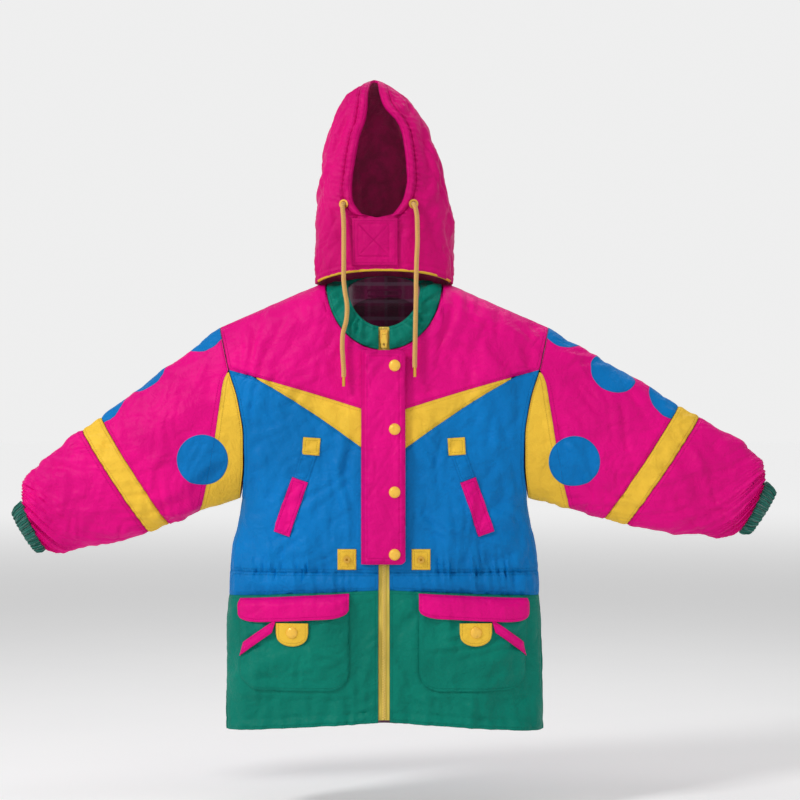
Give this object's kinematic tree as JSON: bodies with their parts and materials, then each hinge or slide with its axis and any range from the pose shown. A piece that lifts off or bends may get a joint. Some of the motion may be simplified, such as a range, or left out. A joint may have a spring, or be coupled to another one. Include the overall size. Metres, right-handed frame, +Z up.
{
  "type": "ski jacket",
  "caption": "Hooded colour-blocked youth ski jacket with a zip front, snap placket, flap pockets, drawcords and gusseted sleeves, hanging by its neck.",
  "frame": {"origin": "middle of the neck at the shoulder line, where a hanger carries the jacket", "axes": "+X to the wearer's left, -Y out of the front, +Z up along the hood"},
  "size_m": [1.162, 0.1389, 0.9865],
  "materials": {
    "magenta_shell": "soft sheen",
    "yellow_shell": "soft sheen",
    "blue_shell": "soft sheen",
    "green_shell": "soft sheen",
    "magenta_lining": "matt",
    "yellow_tape": "matt",
    "yellow_cord": "matt",
    "zip_plastic": "satin",
    "gold_metal": "satin"
  },
  "bodies": {
    "torso": {"yoke_right": "magenta_shell", "yoke_left": "magenta_shell", "wedges": "yellow_shell", "front_right": "blue_shell", "front_left": "blue_shell", "front_casings": "blue_shell", "skirt_right": "green_shell", "skirt_left": "green_shell", "back_yoke": "magenta_shell", "back_body": "blue_shell", "back_casing": "blue_shell", "back_skirt": "green_shell", "collar": "green_shell", "collar_lining": "magenta_lining", "front_linings": "magenta_lining", "back_lining": "magenta_lining", "zip_tapes": "yellow_tape", "zip_teeth": "zip_plastic", "snap_studs": "gold_metal", "chest_welts": "magenta_shell", "chest_squares": "yellow_shell", "waist_patches": "yellow_shell", "waist_eyelets": "gold_metal", "pocket_right": "green_shell", "pocket_left": "green_shell", "pocket_strips": "magenta_shell", "hang_loop": "magenta_shell", "hood_throat": "magenta_shell", "cord_eyelets": "gold_metal", "cord_right": "yellow_cord", "cord_left": "yellow_cord", "cord_tips": "gold_metal", "hood_piping": "yellow_tape", "sleeve_cap_right": "magenta_shell", "gusset_right": "yellow_shell", "sleeve_cap_left": "magenta_shell", "gusset_left": "yellow_shell", "hood_sides": "magenta_shell"},
    "placket": {"placket": "magenta_shell", "placket_caps": "gold_metal"},
    "slider": {"zip_slider": "gold_metal"},
    "pull_tab": {"zip_pull": "zip_plastic"},
    "flap_right": {"flap_right": "magenta_shell", "tab_right": "yellow_shell", "flap_cap_right": "gold_metal"},
    "flap_left": {"flap_left": "magenta_shell", "tab_left": "yellow_shell", "flap_cap_left": "gold_metal"},
    "chin_flap": {"chin_flap": "magenta_shell"},
    "sleeve_right": {"sleeve_right": "magenta_shell", "band_right": "yellow_shell"},
    "forearm_right": {"forearm_right": "magenta_shell", "cuff_right": "green_shell"},
    "sleeve_left": {"sleeve_left": "magenta_shell", "band_left": "yellow_shell"},
    "forearm_left": {"forearm_left": "magenta_shell", "cuff_left": "green_shell"},
    "hood": {"hood_crown": "magenta_shell"}
  },
  "joints": [
    {"name": "hood_fold", "type": "hinge", "parent": "torso", "child": "hood", "pos_m": [0, 0, 0.099], "axis": [-1, 0, 0], "range_deg": [0, 100], "deforming": ["hood_sides"]},
    {"name": "chin_flap_open", "type": "hinge", "parent": "torso", "child": "chin_flap", "pos_m": [0.02176, -0.05982, 0.0615], "axis": [0.0004, -0.0908, 0.9959], "range_deg": [0, 130]},
    {"name": "placket_open", "type": "hinge", "parent": "torso", "child": "placket", "pos_m": [-0.034, -0.0658, -0.26], "axis": [0, 0, -1], "range_deg": [0, 140]},
    {"name": "zip_slide", "type": "slide", "parent": "torso", "child": "slider", "axis": [0, 0, -1], "range_m": [0, 0.56]},
    {"name": "pull_swing", "type": "hinge", "parent": "slider", "child": "pull_tab", "pos_m": [0, -0.064, -0.0762], "axis": [-1, 0, 0], "range_deg": [0, 100]},
    {"name": "flap_right_lift", "type": "hinge", "parent": "torso", "child": "flap_right", "pos_m": [-0.13769, -0.05808, -0.4695], "axis": [-0.9782, 0.2009, -0.0532], "range_deg": [0, 120]},
    {"name": "flap_left_lift", "type": "hinge", "parent": "torso", "child": "flap_left", "pos_m": [0.13769, -0.05808, -0.4695], "axis": [-0.9782, -0.2009, 0.0532], "range_deg": [0, 120]},
    {"name": "sleeve_right_swing", "type": "hinge", "parent": "torso", "child": "sleeve_right", "pos_m": [-0.24, 0, -0.195], "axis": [0, 0, 1], "range_deg": [-15, 75], "deforming": ["sleeve_cap_right", "gusset_right"]},
    {"name": "elbow_right_bend", "type": "hinge", "parent": "sleeve_right", "child": "forearm_right", "pos_m": [-0.39416, -0.012, -0.29052], "axis": [-0.5401, 0, 0.8416], "range_deg": [0, 40], "deforming": ["band_right"]},
    {"name": "sleeve_left_swing", "type": "hinge", "parent": "torso", "child": "sleeve_left", "pos_m": [0.24, 0, -0.195], "axis": [0, 0, -1], "range_deg": [-15, 75], "deforming": ["sleeve_cap_left", "gusset_left"]},
    {"name": "elbow_left_bend", "type": "hinge", "parent": "sleeve_left", "child": "forearm_left", "pos_m": [0.40784, -0.012, -0.27633], "axis": [-0.5514, 0, -0.8342], "range_deg": [0, 40], "deforming": ["band_left"]}
  ]
}
